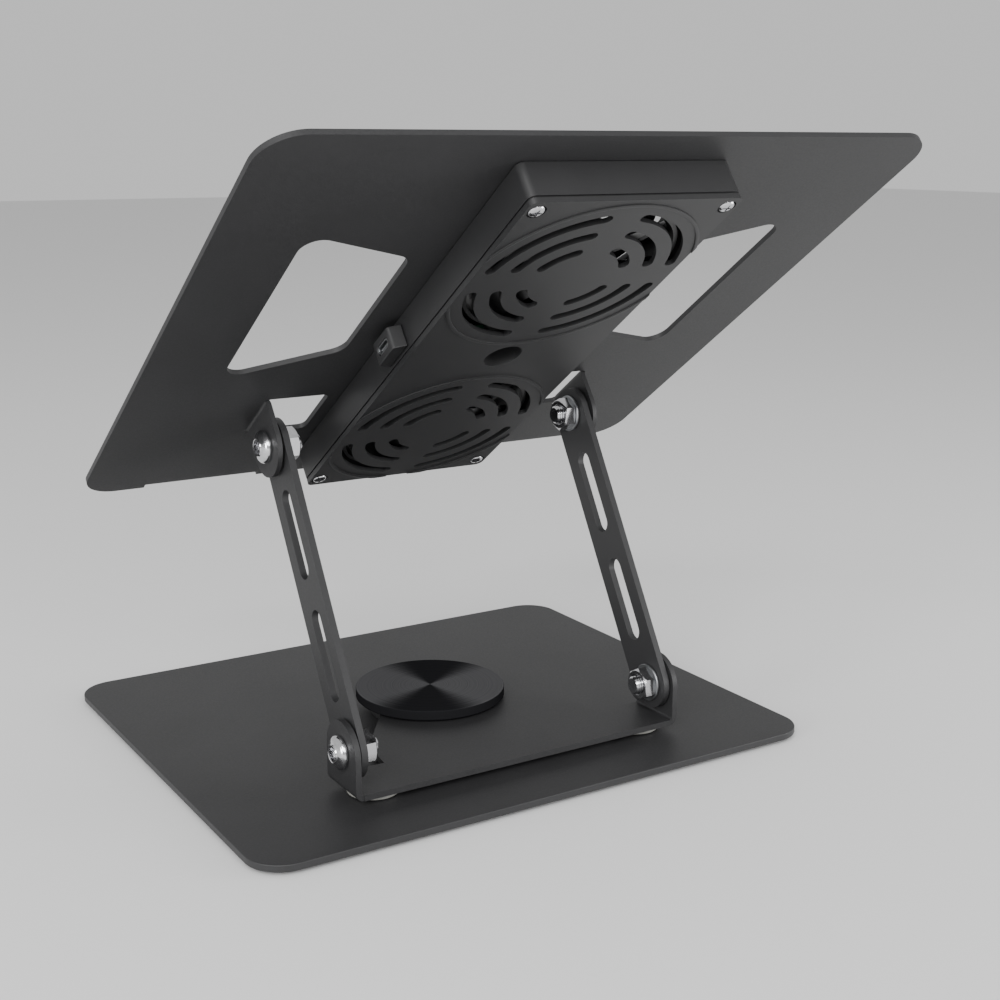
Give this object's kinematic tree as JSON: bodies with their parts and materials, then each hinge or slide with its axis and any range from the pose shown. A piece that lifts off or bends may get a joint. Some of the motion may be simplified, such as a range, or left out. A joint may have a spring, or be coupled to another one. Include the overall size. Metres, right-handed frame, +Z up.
{
  "type": "laptop cooling stand",
  "caption": "Folding steel laptop stand on a swivelling base, with a tilting vented tray and a flat box of two cooling fans under it.",
  "frame": {"origin": "on the swivel axis at desk level, at the centre of the pad under the base plate", "axes": "+Z up along the swivel axis; -Y towards the user, at the tray's front lips; +X to the user's right"},
  "size_m": [0.2706, 0.2577, 0.2543],
  "materials": {
    "powder_coat": "fine matte powder coat",
    "abs_black": "fine textured ABS",
    "silicone": "matte",
    "nylon": "natural nylon",
    "black_nylon": "black nylon",
    "bright_steel": "bright plated steel",
    "steel": "zinc plated",
    "spun_black": "spin-brushed, black anodised look",
    "circuit_board": "solder mask",
    "copper": "enamelled copper windings",
    "lead_black": "PVC"
  },
  "bodies": {
    "base": {"base_plate": "powder_coat", "foot_front_left": "silicone", "foot_front_right": "silicone", "foot_rear_left": "silicone", "foot_rear_right": "silicone", "centre_pad": "silicone", "swivel_bolt": "steel", "swivel_washer_lower": "black_nylon", "swivel_sleeve": "steel", "swivel_washer_upper": "black_nylon", "swivel_disc": "spun_black"},
    "bracket": {"swivel_bracket": "powder_coat", "glide_pad_right": "nylon", "glide_pad_left": "nylon", "lower_bolt_right": "bright_steel", "lower_bolt_left": "bright_steel", "lower_ear_washer_right": "nylon", "lower_ear_washer_left": "nylon", "lower_nut_washer_right": "steel", "lower_nut_washer_left": "steel", "lower_nut_right": "bright_steel", "lower_nut_left": "bright_steel"},
    "arms": {"arm_right": "powder_coat", "arm_left": "powder_coat"},
    "upper_hinge": {"upper_bolt_right": "bright_steel", "upper_bolt_left": "bright_steel", "upper_ear_washer_right": "nylon", "upper_ear_washer_left": "nylon", "upper_nut_washer_right": "steel", "upper_nut_washer_left": "steel", "upper_nut_right": "bright_steel", "upper_nut_left": "bright_steel"},
    "tray": {"top_plate": "powder_coat", "tray_pad_front_right": "silicone", "tray_pad_front_left": "silicone", "tray_pad_rear_right": "silicone", "tray_pad_rear_left": "silicone", "lip_pad_right": "silicone", "lip_pad_left": "silicone", "fan_housing": "abs_black", "grille_cover": "abs_black", "cover_screw_front_left": "bright_steel", "cover_screw_front_right": "bright_steel", "cover_screw_rear_left": "bright_steel", "cover_screw_rear_right": "bright_steel", "port_block": "abs_black", "usb_socket": "steel", "control_board": "circuit_board", "fan_frame_rear": "abs_black", "fan_stator_rear": "copper", "fan_frame_front": "abs_black", "fan_stator_front": "copper", "fan_lead_rear": "lead_black", "fan_lead_front": "lead_black"},
    "fan_rear": {"fan_rotor_rear": "abs_black"},
    "fan_front": {"fan_rotor_front": "abs_black"}
  },
  "joints": [
    {"name": "base_swivel", "type": "hinge", "parent": "base", "child": "bracket", "pos_m": [0, 0, 0.009], "axis": [0, 0, 1], "continuous": true},
    {"name": "arm_fold", "type": "hinge", "parent": "bracket", "child": "arms", "pos_m": [0, 0.067, 0.024], "axis": [1, 0, 0], "range_deg": [-30, 60]},
    {"name": "tray_fold", "type": "hinge", "parent": "arms", "child": "upper_hinge", "pos_m": [0, 0.0045, 0.13225], "axis": [1, 0, 0], "range_deg": [-76, 38]},
    {"name": "tray_tilt", "type": "hinge", "parent": "upper_hinge", "child": "tray", "pos_m": [0, 0.0045, 0.13225], "axis": [-1, 0, 0], "range_deg": [-2, 20]},
    {"name": "fan_rear_spin", "type": "hinge", "parent": "tray", "child": "fan_rear", "pos_m": [0, 0.10311, 0.20945], "axis": [0, -0.5793, 0.8151], "continuous": true},
    {"name": "fan_front_spin", "type": "hinge", "parent": "tray", "child": "fan_front", "pos_m": [0, 0.00367, 0.13878], "axis": [0, -0.5793, 0.8151], "continuous": true}
  ],
  "couplings": [
    {"joint": "tray_fold", "follows": "arm_fold", "ratio": -1.2567}
  ]
}
